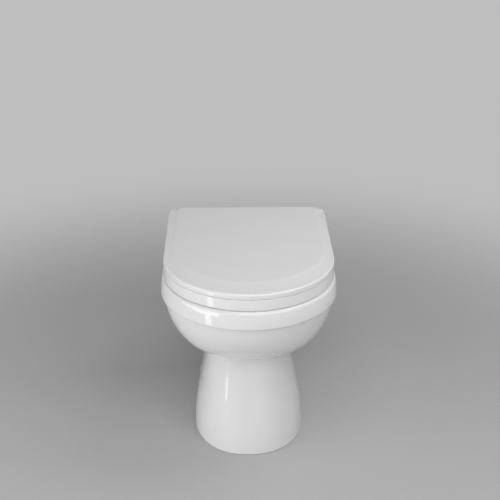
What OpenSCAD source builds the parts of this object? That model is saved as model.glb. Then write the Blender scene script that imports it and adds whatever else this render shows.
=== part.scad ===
// Back to wall toilet: a vitreous china pan with a D-shaped soft-close seat and lid.
// Lengths are in millimetres. The wall is the plane y = 0 while a piece is drawn, and the
// front of the pan is at -Y. Each piece is then moved by half the pan's depth, so that the
// origin is on the floor under the middle of the pan.

/* [Pan] */
// Height of the rim above the floor
rim_z = 400; // [390:1:420]
// Half the width of the rim band, at its widest near the step
band_r = 187; // [185:1:190]
// Distance from the wall to the centre of the round front
front_c = 314; // [308:1:320]
// Height of the rim band's lower step
step_z = 360; // [356:1:364]
// Wall thickness of the china skin
skin_t = 11; // [9:1:12]
// Wall thickness of the china basin
basin_t = 9; // [8:1:9]

/* [Bowl and pedestal] */
// Half the width of the bowl under the step
bowl_w = 180; // [176:1:181]
// Distance from the wall to the bowl's front under the step
bowl_front = 489.5; // [485:0.5:491]
// Squareness of the bowl's side curve, where 2 is an ellipse
bowl_power = 1.8; // [1.7:0.1:2.0]
// Height of the neck between bowl and pedestal
neck_z = 232; // [226:1:236]
// Half the width of the neck
neck_w = 90; // [88:1:96]
// Distance from the wall to the front of the neck
neck_front = 365; // [360:1:370]
// Half the width of the foot
foot_w = 123; // [118:1:128]
// Distance from the wall to the front of the foot
foot_front = 408.5; // [400:0.5:415]
// How much each side of the foot draws in towards the wall
foot_taper = 27; // [20:1:30]

/* [Water way] */
// Inside radius of the trap
trap_r = 36; // [34:1:37]
// Height of the outlet's centre above the floor
outlet_z = 180; // [175:1:185]
// Outside radius of the outlet spigot
spigot_r = 51; // [50:1:53]
// Height of the flush inlet's centre above the floor
inlet_z = 345; // [343:1:346]
// Inside radius of the flush inlet
inlet_r = 28; // [26:1:28]
// Number of flush holes under the rim
flush_holes = 30; // [20:2:36]

/* [Seat and lid] */
// Half the width of the seat and lid
seat_r = 180; // [178:1:182]
// Height of the seat's top
seat_top_z = 425; // [424:1:426]
// Height of the lid's flat panel
lid_top_z = 440; // [439:1:441]
// Distance from the wall to the lid's back edge
lid_back = 45; // [44:1:46]
// Half the width of the seat's opening
seat_hole_r = 110; // [105:1:112]
// Half the width of the lid's flat panel
panel_r = 158; // [150:1:165]

/* [Hinges] */
// Distance between the two seat fixing holes
hinge_pitch = 155; // [154:0.5:156]
// Distance from the wall to the hinge axis
hinge_back = 60; // [59:0.5:61]
// Height of the hinge axis
hinge_z = 419; // [418.5:0.5:419.5]

/* [Hidden] */

$fn = 96;
china = [0.93, 0.93, 0.93];
resin = [0.95, 0.95, 0.95];
dark_rubber = [0.16, 0.16, 0.17];
clear_rubber = [0.80, 0.80, 0.78];
steel = [0.72, 0.73, 0.74];
nylon = [0.88, 0.88, 0.86];

eps = 0.5;                          // how far a cut runs past a face
pan_depth = front_c + band_r;

// Plans of the pan: [half width, front, end of the straight sides, squareness, taper]
bowl_plan = [bowl_w, bowl_front, front_c, 2, 0];
neck_plan = [neck_w, neck_front, 246, 2.65, 6];
foot_plan = [foot_w, foot_front, 246, 2.3, foot_taper];
foot_curve = 1.85;                  // how early the pedestal starts to flare
fillet_z = neck_z - 17;             // where the neck's fillet starts on the pedestal
fillet_a = 77;                      // where it ends on the bowl's curve, in degrees
side_steps = 5;
front_steps = 38;

// Rim
band_lean = 3;                      // how much narrower the band is at its top
band_top_r = 9;
band_low_r = 4;
mouth_r = 133;                      // opening of the rim
mouth_back = 285;                   // centre of the opening's round back
mouth_edge_r = 8;
channel_in = 141;
channel_out = 173;
channel_low = step_z + 8;
channel_top = rim_z - 11;
channel_back_r = 183;               // outside of the channel's wall behind the opening
deck_under_z = rim_z - 15;
deck_side = 175;                    // inside of the band beside the deck
flush_hole_r = 2.8;
flush_line_r = 144.6;
fixing_hole_r = 7;

// Basin plans: [half width, front, middle, back, squareness]
basin_plan = [150, 462, 300, 140, 2];
throat_plan = [65, 340, 285, 222, 2];
throat_z = 262;
throat_power = 1.55;
throat_fillet_z = 240;
throat_fillet_a = 75;
sump_z = 114;
sump_y = 285;
sump_plan = [trap_r, sump_y + trap_r, sump_y, sump_y - trap_r, 2];
basin_points = 48;

// Trap
trap_wall = 9;
bend_r = 56;
climb = 60;                         // slope of the rising leg, in degrees
leg_swell = 0.4;                    // how much wider the straight legs are than the bends
leg_lap = 2;                        // how far they run into the bends
leg = (outlet_z - sump_z) / sin(climb);
bend_y = sump_y - bend_r;
leg_y = bend_y - bend_r * sin(climb);
leg_z = sump_z - bend_r * cos(climb);
crest_y = leg_y - leg * cos(climb) - bend_r * sin(climb);
spigot_start = 100;
spigot_end = 47;
spigot_wall = 8;
spigot_step = 4;                    // thickness of the step from trap to spigot

// Flush inlet chamber
chamber_w = 45;
chamber_front = 118;
chamber_back = 60;
chamber_low = 304;
chamber_wall = 8;
inlet_wall = 8;
inlet_end = 22;
inlet_start = 106;                  // where the inlet's bore breaks into the chamber
inlet_lap = 4;
port_w = 28;
seal_end = 52;
seal_pipe_r = 22;
seal_flange = 5;
seal_flange_t = 4;
groove_t = 4;                       // width of each groove and of each rib between two
groove_depth = 2;

// Seat and lid
seat_low_z = rim_z + 1.5;
seat_back = 84;
seat_wall = 6;
seat_corner_r = 24;
seat_hole_back = 236;
seat_lean = 1;                      // how much narrower the seat is at its top
seat_edge_r = 3;
seat_low_r = 1;
seat_arm_w = 40;                    // half the width of the arm from seat to hinge
seat_arm_low = 8;                   // from the hinge axis down to the arm's underside
seat_arm_high = 5;
seat_hole_edge_r = 10;
lid_low_z = seat_top_z + 1;
lid_edge_z = lid_top_z - 2.5;
lid_low_r = 1;
lid_edge_r = 4;
lid_corner_r = 30;
lid_wall = 5;
lid_plate_z = lid_edge_z - 3.5;
panel_c = 281;
buffer_r = 152;
seat_buffer_back = 190;
buffer_gap = 0.4;
buffer_h = 7;
buffer_foot_r = 10;
buffer_edge_r = 1.5;

// Hinges
fit = 0.05;                         // radial play of a running fit
barrel_r = 11.5;
post_r = 7;
post_top_z = rim_z + 22;
post_disc_z = rim_z + 1;
post_disc_t = 3.5;
post_disc_r = 17.5;
post_disc_flat = 12;                // from the post's middle to the disc's flat back edge
block_w = 35;
block_low_z = post_disc_z + post_disc_t + 0.4;
block_front = hinge_back + 13;
block_rear = hinge_back - 11;
barrel_end = hinge_pitch / 2 - block_w / 2 - 1;
ear_start = hinge_pitch / 2 + block_w / 2 + 1;
ear_end = 150;
damper_r = 8;
damper_len = 50;
pin_grip = 28;                      // how far a plain pin enters the seat or the lid
pin_r = 4;
pin_depth = 9.3;
pin_inner = hinge_pitch / 2 - block_w / 2 + pin_depth;
pin_outer = hinge_pitch / 2 + block_w / 2 - pin_depth;
button_x = 12.4;
button_z = 410 - rim_z;
button_r = 3.5;
button_out = 2.5;
button_head = 10;
button_stem_r = 1.5;
button_pocket_end = 52;
spring_len = 9.8;                   // pressed length
spring_r = 2.55;
wire_r = 0.45;
spring_turns = 5;
button_chamfer = 1;
button_stem_len = 8;

// Seat fixing
bolt_r = 3;
bolt_play = 0.1;
bolt_head_r = 5.2;
bolt_head_h = 4.5;
bolt_recess_r = 5.4;
bolt_recess_h = 6;
bolt_end_z = rim_z - 46;
cone_r = 12;
cone_h = 7;
cone_taper = 2;
cone_tip_r = 9;
cone_neck = 7;                      // how far the cone washer's neck enters the deck
washer_r = 11;
washer_t = 1.6;
washer_z = deck_under_z - cone_h - washer_t;
nut_h = 10;
nut_r = 7.5;
nut_low_r = 6;
wing_t = 3;
wing_reach = 16.5;
wing_r = 5;
wing_low = 1;
wing_h = 8;

// Floor fixing
bracket_x = 94;
bracket_y = 100;
bracket_t = 5;
bracket_w = 44;
bracket_h = 54;
bracket_foot = 40;
bracket_corner = 8;
bracket_boss_r = 8;
bracket_boss_end = 13;              // from the bracket's outer face to the boss's end
side_screw_z = 34;
side_screw_r = 2.5;
side_screw_start = 18;              // from the bracket's outer face to the screw's tip
side_head_r = 4.3;
side_head_h = 2.6;
side_head_x = 4.5;                  // from the skirt's outside in to the head's seat
side_hole_r = 6;
cup_flange_r = 8.5;
cup_flange_t = 1.5;
cup_end = 8.5;                      // from the skirt's outside to the cup's inner end
cap_r = 10.5;
cap_t = 4;
cap_edge_r = 1.5;
cap_room = 2.8;                     // depth of the cap's inside
side_skin_x = 109.35;               // outside of the skirt at the side screw
side_yaw = 6.3;                     // how the skirt's side turns in towards the wall there
side_lean = 4;                      // and how it leans in upwards, in degrees

// ---------- helpers ----------

function lerp(a, b, t) = a + (b - a) * t;
function signed_pow(v, p) = sign(v) * pow(abs(v), p);

// Moves a piece from the wall's frame to the part's own frame
module place() {
    translate([0, pan_depth / 2, 0]) children();
}

module both_sides() {
    for (side = [-1, 1]) translate([side * hinge_pitch / 2, -hinge_back, 0]) children();
}

module mirror_pair() {
    for (side = [0, 1]) mirror([side, 0, 0]) children();
}

// A tube section along Y, X or Z from one place to another
module along_y(r, from, to) {
    translate([0, from, 0]) rotate([-90, 0, 0]) cylinder(r = r, h = to - from);
}

module along_x(r, from, to) {
    translate([from, 0, 0]) rotate([0, 90, 0]) cylinder(r = r, h = to - from);
}

// D-shaped plan: a round front of radius r, straight sides and rounded back corners
module d_plan(r, back, corner_r) {
    translate([0, -front_c]) circle(r);
    translate([-r, -front_c]) square([2 * r, front_c - back - corner_r]);
    translate([-r + corner_r, -front_c]) square([2 * (r - corner_r), front_c - back]);
    for (side = [-1, 1]) {
        translate([side * (r - corner_r), -back - corner_r]) circle(corner_r);
    }
}

// Plan of an opening with a round front and a round back
module stadium_plan(r, back_c) {
    translate([0, -front_c]) circle(r);
    translate([0, -back_c]) circle(r);
    translate([-r, -front_c]) square([2 * r, front_c - back_c]);
}

// Sweeps a half section, drawn as (distance from the middle, height), round the D
module d_sweep(back) {
    translate([0, -front_c, 0]) rotate([0, 0, 180]) rotate_extrude(angle = 180) children();
    translate([0, -back, 0]) rotate([90, 0, 0]) linear_extrude(front_c - back) {
        children();
        mirror([1, 0]) children();
    }
}

// Sweeps a half section round an opening with a round front and back
module stadium_sweep(back_c) {
    translate([0, -front_c, 0]) rotate([0, 0, 180]) rotate_extrude(angle = 180) children();
    translate([0, -back_c, 0]) rotate_extrude(angle = 180) children();
    translate([0, -back_c, 0]) rotate([90, 0, 0]) linear_extrude(front_c - back_c) {
        children();
        mirror([1, 0]) children();
    }
}

// Half section from the middle out, r wide at its foot and less by the lean at its top,
// with a rounded edge below and above
module edge_section(r, low, high, low_r, high_r, lean) {
    foot = [r - low_r, low + low_r];
    head = [r - lean - high_r, high - high_r];
    span = head - foot;
    tilt = atan2(span[1], span[0]) - acos((low_r - high_r) / norm(span));
    out = [cos(tilt), sin(tilt)];
    polygon([
        [0, low], [foot[0], low], foot + low_r * out, head + high_r * out, [head[0], high], [0, high]
    ]);
    translate(foot) circle(low_r);
    translate(head) circle(high_r);
}

// Half section of an opening whose upper edge is rounded outwards
module mouth_section(r, low, high, edge_r) {
    translate([0, low]) square([r, high - low + eps]);
    difference() {
        translate([0, high - edge_r]) square([r + edge_r, edge_r + eps]);
        translate([r + edge_r, high - edge_r]) circle(edge_r);
    }
}

// ---------- china ----------

// A ring of the pan is [height, half width, front, end of sides, squareness, taper]
function bowl_ring(a) =
    let (drop = pow(sin(a), 2 / bowl_power), out = pow(cos(a), 2 / bowl_power))
    concat([lerp(step_z, neck_z, drop)], lerp(neck_plan, bowl_plan, out));

function foot_ring(z) =
    let (flare = pow(1 - pow(z / neck_z, foot_curve), 2))
    concat([z], lerp(neck_plan, foot_plan, flare));

function fillet_ring(t) =
    let (low = foot_ring(fillet_z), high = bowl_ring(fillet_a))
    let (corner = concat([high[0] - 2], neck_plan))
    lerp(lerp(low, corner, t), lerp(corner, high, t), t);

// Points of one ring from the back left round the front to the back right
function ring_points(ring, inset) =
    let (w = ring[1] - inset, front = ring[2] - inset, side = ring[3], bend = 2 / ring[4])
    concat(
        [for (i = [0 : side_steps - 1]) let (back = 1 - i / side_steps)
            [-w + ring[5] * pow(back, 1.5), -side * (1 - back)]],
        [for (i = [0 : front_steps]) let (a = -90 + 180 * i / front_steps)
            [w * signed_pow(sin(a), bend), -side - (front - side) * pow(cos(a), bend)]],
        [for (i = [side_steps - 1 : -1 : 0]) let (back = 1 - i / side_steps)
            [w - ring[5] * pow(back, 1.5), -side * (1 - back)]]
    );

// One closed level of the skin: the outside, then the inside on the way back
function skin_level(ring, slope) =
    let (outside = ring_points(ring, 0))
    let (inside = ring_points(ring, skin_t * cos(slope)))
    let (last = len(inside) - 1)
    concat(
        [for (p = outside) [p[0], p[1], ring[0]]],
        [for (i = [last : -1 : 0]) [inside[i][0], inside[i][1], ring[0] + skin_t * sin(slope)]]
    );

// Triangles between stacked levels of m points each, which close on themselves
function wall_faces(levels, m, first, flip) = [
    for (k = [0 : levels - 2], i = [0 : m - 1], half = [0, 1])
        let (a = first + k * flip[1] + i, b = first + k * flip[1] + (i + 1) % m)
        let (c = a + flip[1], d = b + flip[1])
        let (face = half == 0 ? [a, c, d] : [a, d, b])
        flip[0] ? [face[0], face[2], face[1]] : face
];

module pan_shroud() {
    foot_steps = 12;
    fillet_steps = 5;
    bowl_steps = 13;
    levels = concat(
        [for (i = [0 : foot_steps - 1])
            skin_level(foot_ring(fillet_z * i / foot_steps), 0)],
        [for (i = [0 : fillet_steps])
            skin_level(fillet_ring(i / fillet_steps), fillet_a * i / fillet_steps)],
        [for (i = [1 : bowl_steps]) let (a = fillet_a * (1 - i / bowl_steps))
            skin_level(bowl_ring(a), a)]
    );
    m = len(levels[0]);
    top = (len(levels) - 1) * m;
    caps = [
        for (i = [0 : m / 2 - 2], half = [0, 1], end = [0, 1])
            let (a = i, b = i + 1, c = m - 2 - i, d = m - 1 - i)
            let (face = half == 0 ? [a, b, c] : [a, c, d])
            end == 0 ? face : [top + face[0], top + face[2], top + face[1]]
    ];
    color(china) place() difference() {
        polyhedron(
            points = [for (level = levels) each level],
            faces = concat(wall_faces(len(levels), m, 0, [false, m]), caps),
            convexity = 8
        );
        translate([0, -bracket_y, side_screw_z]) along_x(side_hole_r, -foot_w, foot_w);
    }
}

module pan_rim() {
    color(china) place() difference() {
        d_sweep(0) edge_section(band_r, step_z, rim_z, band_low_r, band_top_r, band_lean);
        stadium_sweep(mouth_back) mouth_section(mouth_r, step_z - eps, rim_z, mouth_edge_r);
        stadium_sweep(mouth_back) translate([channel_in, channel_low]) {
            square([channel_out - channel_in, channel_top - channel_low]);
        }
        // hollow under the deck, behind the channel's wall
        translate([0, 0, step_z - eps]) linear_extrude(deck_under_z - step_z + eps) {
            difference() {
                translate([-deck_side, -mouth_back]) {
                    square([2 * deck_side, mouth_back + eps]);
                }
                translate([0, -mouth_back]) circle(channel_back_r);
            }
        }
        both_sides() translate([0, 0, deck_under_z - eps]) {
            cylinder(r = fixing_hole_r, h = rim_z - deck_under_z + 2 * eps);
        }
        // port from the flush chamber into the channel
        translate([-port_w, -chamber_front, channel_low]) {
            cube([2 * port_w, chamber_front - mouth_back + channel_back_r + eps,
                deck_under_z - channel_low]);
        }
        flush_hole_row();
    }
}

// Flush holes along the inside of the channel, round the front and the back of the mouth
module flush_hole_row() {
    half = flush_holes / 2;
    for (i = [0 : half - 1]) {
        a = 180 * (i + 0.5) / half;
        for (arc = [[-front_c, 180], [-mouth_back, 0]]) {
            translate([0, arc[0], channel_low - 9]) rotate([0, 0, a + arc[1]]) {
                translate([flush_line_r, 0, 0]) cylinder(r = flush_hole_r, h = 10);
            }
        }
    }
}

// A ring of the basin is [height, half width, front, middle, back, squareness]
function basin_ring(a) =
    let (drop = pow(sin(a), 2 / throat_power), out = pow(cos(a), 2 / throat_power))
    concat([lerp(step_z, throat_z, drop)], lerp(throat_plan, basin_plan, out));

function throat_ring(z) =
    concat([z], lerp(sump_plan, throat_plan, (z - sump_z) / (throat_z - sump_z)));

function throat_fillet_ring(t) =
    let (low = throat_ring(throat_fillet_z), high = basin_ring(throat_fillet_a))
    let (corner = concat([high[0] - 2], throat_plan))
    lerp(lerp(low, corner, t), lerp(corner, high, t), t);

function basin_level(ring, slope, t) =
    let (grow = t * cos(slope), bend = 2 / ring[5])
    [for (i = [0 : basin_points - 1])
        let (a = 360 * i / basin_points)
        let (depth = sin(a) < 0 ? ring[2] - ring[3] + grow : ring[3] - ring[4] + grow)
        [(ring[1] + grow) * signed_pow(cos(a), bend),
            -ring[3] + depth * signed_pow(sin(a), bend),
            ring[0] - t * sin(slope)]];

module pan_basin() {
    throat_steps = 6;
    fillet_steps = 4;
    bowl_steps = 10;
    rings = concat(
        [for (i = [0 : throat_steps - 1])
            [throat_ring(lerp(sump_z, throat_fillet_z, i / throat_steps)), 0]],
        [for (i = [0 : fillet_steps])
            [throat_fillet_ring(i / fillet_steps), throat_fillet_a * i / fillet_steps]],
        [for (i = [1 : bowl_steps]) let (a = throat_fillet_a * (1 - i / bowl_steps))
            [basin_ring(a), a]]
    );
    m = basin_points;
    pitch = 2 * m;
    top = (len(rings) - 1) * pitch;
    caps = [
        for (i = [0 : m - 1], half = [0, 1], end = [0, 1])
            let (a = i, b = (i + 1) % m, c = m + (i + 1) % m, d = m + i)
            let (face = half == 0 ? [a, b, c] : [a, c, d])
            end == 0 ? face : [top + face[0], top + face[2], top + face[1]]
    ];
    color(china) place() polyhedron(
        points = [for (r = rings)
            each concat(basin_level(r[0], r[1], basin_t), basin_level(r[0], r[1], 0))],
        faces = concat(
            wall_faces(len(rings), m, 0, [false, pitch]),
            wall_faces(len(rings), m, m, [true, pitch]),
            caps
        ),
        convexity = 8
    );
}

// The trap's path from the sump, under, up the rising leg and over the crest.
// The straight legs are a little wider than the bends and run into them.
module trap_path(r) {
    leg_r = r + leg_swell;
    translate([0, -bend_y, sump_z]) rotate([90, 0, 90]) rotate([0, 0, 180]) {
        rotate_extrude(angle = 90 + climb) translate([bend_r, 0]) circle(r);
    }
    translate([0, -leg_y, leg_z]) rotate([climb - 90, 0, 0]) {
        translate([0, 0, -leg_lap]) cylinder(r = leg_r, h = leg + 2 * leg_lap);
    }
    translate([0, -crest_y, outlet_z - bend_r]) rotate([90, 0, 90]) rotate([0, 0, 90]) {
        rotate_extrude(angle = climb) translate([bend_r, 0]) circle(r);
    }
    translate([0, 0, outlet_z]) along_y(leg_r, -crest_y - leg_lap, -spigot_start + spigot_step + leg_lap);
}

module pan_trapway() {
    color(china) place() difference() {
        union() {
            trap_path(trap_r + trap_wall);
            translate([0, 0, outlet_z]) along_y(spigot_r, -spigot_start, -spigot_end);
        }
        trap_path(trap_r);
        translate([0, 0, outlet_z]) {
            along_y(spigot_r - spigot_wall, -spigot_start + spigot_step, -spigot_end + eps);
        }
    }
}

module pan_inlet() {
    inner_w = chamber_w - chamber_wall;
    color(china) place() difference() {
        union() {
            translate([-chamber_w, -chamber_front, chamber_low]) {
                cube([2 * chamber_w, chamber_front - chamber_back,
                    deck_under_z - chamber_low]);
            }
            translate([0, 0, inlet_z]) {
                along_y(inlet_r + inlet_wall, -chamber_back - inlet_lap, -inlet_end);
            }
        }
        translate([-inner_w, -chamber_front + chamber_wall, chamber_low + chamber_wall]) {
            cube([2 * inner_w, chamber_front - chamber_back - 2 * chamber_wall,
                deck_under_z - chamber_low]);
        }
        translate([0, 0, inlet_z]) along_y(inlet_r, -inlet_start, -inlet_end + eps);
        // the rim's back wall closes the front of the chamber above the step
        translate([0, -mouth_back, step_z]) {
            cylinder(r = channel_back_r, h = deck_under_z - step_z + eps);
        }
    }
}

module inlet_seal() {
    grooves = 3;
    flange_end = -inlet_end + seal_flange_t;
    color(dark_rubber) place() translate([0, 0, inlet_z]) difference() {
        union() {
            along_y(inlet_r - fit, -seal_end, -inlet_end);
            along_y(inlet_r + seal_flange, -inlet_end, flange_end);
        }
        along_y(seal_pipe_r, -seal_end - eps, flange_end + eps);
        // grooves that make the sleeve grip the flush pipe
        for (i = [1 : grooves]) let (start = -seal_end + groove_t * (2 * i - 1)) {
            along_y(seal_pipe_r + groove_depth, start, start + groove_t);
        }
    }
}

// ---------- seat fixing ----------

// Cuts a disc round a post flat behind, to leave the raised lid room
module flat_back_disc(height) {
    intersection() {
        children();
        translate([-post_disc_r, -post_disc_r, -eps]) {
            cube([2 * post_disc_r, post_disc_r + post_disc_flat, height + 2 * eps]);
        }
    }
}

module post_gaskets() {
    gasket_t = post_disc_z - rim_z;
    color(dark_rubber) place() both_sides() translate([0, 0, rim_z]) difference() {
        flat_back_disc(gasket_t) cylinder(r = post_disc_r, h = gasket_t);
        translate([0, 0, -eps]) cylinder(r = fixing_hole_r, h = gasket_t + 2 * eps);
    }
}

module hinge_post() {
    edge_r = 1.5;
    tip = 1.5;
    lap = 1;
    tip_z = post_top_z - tip;
    low_z = post_disc_z + lap;
    color(steel) place() translate([0, -hinge_back, 0]) difference() {
        union() {
            translate([0, 0, post_disc_z]) flat_back_disc(post_disc_t) rotate_extrude() {
                square([post_disc_r - edge_r, post_disc_t]);
                square([post_disc_r, post_disc_t - edge_r]);
                translate([post_disc_r - edge_r, post_disc_t - edge_r]) circle(edge_r);
            }
            translate([0, 0, low_z]) cylinder(r = post_r, h = tip_z - low_z);
            translate([0, 0, tip_z]) cylinder(r1 = post_r, r2 = post_r - tip, h = tip);
        }
        translate([0, 0, post_disc_z - eps]) {
            cylinder(r = bolt_r + 2 * bolt_play, h = post_top_z - post_disc_z + 2 * eps);
        }
        translate([0, 0, post_top_z - bolt_recess_h]) {
            cylinder(r = bolt_recess_r, h = bolt_recess_h + eps);
        }
    }
}

module hinge_post_left() { translate([-hinge_pitch / 2, 0, 0]) hinge_post(); }
module hinge_post_right() { translate([hinge_pitch / 2, 0, 0]) hinge_post(); }

module seat_bolts() {
    socket_r = 2.9;
    socket_floor = 2;
    chamfer = 0.6;
    lead = 1;
    head_z = post_top_z - bolt_recess_h;
    color(steel) place() both_sides() {
        translate([0, 0, bolt_end_z]) cylinder(r1 = bolt_r - chamfer, r2 = bolt_r, h = lead);
        translate([0, 0, bolt_end_z + lead]) {
            cylinder(r = bolt_r, h = head_z - bolt_end_z - lead);
        }
        translate([0, 0, head_z]) difference() {
            cylinder(r = bolt_head_r, h = bolt_head_h);
            // hexagon socket
            translate([0, 0, socket_floor]) cylinder(r = socket_r, h = bolt_head_h, $fn = 6);
        }
    }
}

module cone_washers() {
    color(dark_rubber) place() both_sides() translate([0, 0, deck_under_z]) difference() {
        union() {
            translate([0, 0, -cone_h]) cylinder(r = cone_r, h = cone_h - cone_taper);
            translate([0, 0, -cone_taper]) {
                cylinder(r1 = cone_r, r2 = cone_tip_r, h = cone_taper);
            }
            cylinder(r = fixing_hole_r - fit, h = cone_neck);
        }
        translate([0, 0, -cone_h - eps]) {
            cylinder(r = bolt_r + bolt_play, h = cone_h + cone_neck + 2 * eps);
        }
    }
}

module steel_washers() {
    color(steel) place() both_sides() translate([0, 0, washer_z]) difference() {
        cylinder(r = washer_r, h = washer_t);
        translate([0, 0, -eps]) cylinder(r = bolt_r + 2 * bolt_play, h = washer_t + 2 * eps);
    }
}

module wing_nuts() {
    color(nylon) place() both_sides() translate([0, 0, washer_z - nut_h]) difference() {
        union() {
            cylinder(r1 = nut_low_r, r2 = nut_r, h = nut_h);
            for (side = [0, 180]) rotate([90, 0, side]) translate([0, 0, -wing_t / 2]) {
                linear_extrude(wing_t) {
                    translate([0, wing_low]) square([wing_reach - wing_r, wing_h]);
                    translate([wing_reach - wing_r, wing_low + wing_h - wing_r]) circle(wing_r);
                }
            }
        }
        translate([0, 0, -wing_r]) cylinder(r = bolt_r + bolt_play, h = nut_h + wing_r + eps);
    }
}

// ---------- floor fixing ----------

module floor_bracket() {
    foot_hole_r = 4;
    rib_t = 3;
    rib_reach = 4;                  // how far each rib stops short of the foot's end
    rib_drop = 14;
    lap = 1;
    shoulder_z = bracket_h - bracket_corner;
    foot_hole_x = -(bracket_foot + bracket_t - 1) / 2;
    color(nylon) place() translate([bracket_x, -bracket_y, 0]) difference() {
        union() {
            translate([-bracket_foot, -bracket_w / 2, 0]) {
                cube([bracket_foot, bracket_w, bracket_t]);
            }
            translate([-bracket_t, -bracket_w / 2, 0]) {
                cube([bracket_t, bracket_w, shoulder_z]);
            }
            translate([-bracket_t, 0, 0]) rotate([90, 0, 90]) linear_extrude(bracket_t) {
                translate([-bracket_w / 2 + bracket_corner, 0]) {
                    square([bracket_w - 2 * bracket_corner, bracket_h]);
                }
                for (side = [-1, 1]) {
                    translate([side * (bracket_w / 2 - bracket_corner), shoulder_z]) {
                        circle(bracket_corner);
                    }
                }
            }
            translate([0, 0, side_screw_z]) {
                along_x(bracket_boss_r, -bracket_boss_end, -bracket_t + lap);
            }
            // ribs that brace the upright
            for (side = [-1, 1]) translate([0, side * (bracket_w - rib_t) / 2, 0]) {
                rotate([90, 0, 0]) translate([0, 0, -rib_t / 2]) linear_extrude(rib_t) {
                    polygon([
                        [-bracket_foot + rib_reach, bracket_t - lap],
                        [-bracket_t + lap, bracket_t - lap],
                        [-bracket_t + lap, bracket_h - rib_drop]
                    ]);
                }
            }
        }
        translate([foot_hole_x, 0, -eps]) cylinder(r = foot_hole_r, h = bracket_t + 2 * eps);
        translate([0, 0, side_screw_z]) {
            along_x(side_screw_r + 0.1, -bracket_boss_end - eps, eps);
        }
    }
}

module floor_bracket_left() { mirror([1, 0, 0]) floor_bracket(); }
module floor_bracket_right() { floor_bracket(); }

// Both side holes, seen from the screw's axis, with x = 0 at the skirt's outside
module at_side_holes() {
    place() mirror_pair() translate([side_skin_x, -bracket_y, side_screw_z]) children();
}

// Lays a disc drawn upwards flat against the skirt's slanted outside
module against_skirt() {
    rotate([0, 90 - side_lean, side_yaw]) children();
}

// Flanged nylon cups that carry the screws in the skirt's holes
module screw_cups() {
    off = 0.1;
    color(nylon) at_side_holes() difference() {
        union() {
            translate([off, 0, 0]) against_skirt() cylinder(r = cup_flange_r, h = cup_flange_t);
            along_x(side_hole_r - 0.1, -cup_end, cup_flange_t / 2);
        }
        along_x(side_screw_r + 0.1, -cup_end - eps, cup_flange_t);
        along_x(side_head_r + 0.2, -side_head_x, cup_flange_t + 2);
    }
}

module side_screws() {
    slot_w = 1;
    slot_l = 5;
    slot_depth = 1.2;
    edge_r = 1;
    color(steel) at_side_holes() difference() {
        union() {
            along_x(side_screw_r, bracket_x - side_screw_start - side_skin_x, -side_head_x + eps);
            translate([-side_head_x, 0, 0]) rotate([0, 90, 0]) rotate_extrude() {
                square([side_head_r - edge_r, side_head_h]);
                square([side_head_r, side_head_h - edge_r]);
                translate([side_head_r - edge_r, side_head_h - edge_r]) circle(edge_r);
            }
        }
        // cross slot
        for (turn = [0, 90]) rotate([turn, 0, 0]) {
            translate([-side_head_x + side_head_h - slot_depth, -slot_l / 2, -slot_w / 2]) {
                cube([slot_depth + eps, slot_l, slot_w]);
            }
        }
    }
}

// Snap-on covers over the cups' flanges
module side_caps() {
    off = 0.15;
    color(resin) at_side_holes() translate([off, 0, 0]) against_skirt() difference() {
        rotate_extrude() {
            square([cap_r - cap_edge_r, cap_t]);
            square([cap_r, cap_t - cap_edge_r]);
            translate([cap_r - cap_edge_r, cap_t - cap_edge_r]) circle(cap_edge_r);
        }
        translate([0, 0, -eps]) cylinder(r = cup_flange_r + fit, h = cap_room + eps);
    }
}

// ---------- hinge ----------

module hinge_axis() {
    place() translate([0, -hinge_back, hinge_z]) children();
}

// Right hinge block. Its socket drops over the post, and the pins enter from both sides
module hinge_block() {
    mid = hinge_pitch / 2;
    foot_h = hinge_z - block_low_z;
    color(steel) hinge_axis() difference() {
        union() {
            along_x(barrel_r, mid - block_w / 2, mid + block_w / 2);
            translate([mid - block_w / 2, hinge_back - block_front, -foot_h]) {
                cube([block_w, block_front - block_rear, foot_h]);
            }
        }
        translate([mid, 0, -foot_h - eps]) cylinder(r = post_r + fit, h = foot_h + 5 + eps);
        along_x(pin_r + fit, mid - block_w / 2 - eps, pin_inner + 0.2);
        along_x(pin_r + fit, pin_outer - 0.2, mid + block_w / 2 + eps);
        translate([mid + button_x, 0, rim_z + button_z - hinge_z]) {
            along_y(button_r + fit, hinge_back - block_front - eps,
                hinge_back - button_pocket_end);
        }
    }
}

module hinge_block_right() { hinge_block(); }
module hinge_block_left() { mirror([1, 0, 0]) hinge_block(); }

// Points of a coil about the Y axis: a small polygon swept along a helix
module coil(r, wire, length, turns) {
    around = 12;
    sides = 5;
    steps = turns * around;
    points = [
        for (i = [0 : steps]) let (a = 360 * i / around, y = length * i / steps)
            for (j = [0 : sides - 1]) let (b = 360 * j / sides)
                [(r + wire * cos(b)) * cos(a), y + wire * sin(b), (r + wire * cos(b)) * sin(a)]
    ];
    walls = wall_faces(steps + 1, sides, 0, [false, sides]);
    end = steps * sides;
    ends = [[for (j = [0 : sides - 1]) j], [for (j = [sides - 1 : -1 : 0]) end + j]];
    polyhedron(points = points, faces = concat(walls, ends));
}

module button_springs() {
    color(steel) place() mirror_pair() {
        translate([hinge_pitch / 2 + button_x, -button_pocket_end, rim_z + button_z]) {
            translate([0, -spring_len - wire_r, 0]) {
                coil(spring_r, wire_r, spring_len - wire_r, spring_turns);
            }
        }
    }
}

module release_button() {
    color(resin) place() {
        translate([hinge_pitch / 2 + button_x, -block_front - button_out, rim_z + button_z]) {
            along_y(button_r, button_chamfer, button_head);
            rotate([-90, 0, 0]) {
                cylinder(r1 = button_r - button_chamfer, r2 = button_r, h = button_chamfer);
            }
            along_y(button_stem_r, button_head - eps, button_head + button_stem_len);
        }
    }
}

module release_button_right() { release_button(); }
module release_button_left() { mirror([1, 0, 0]) release_button(); }

// ---------- seat ----------

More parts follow.
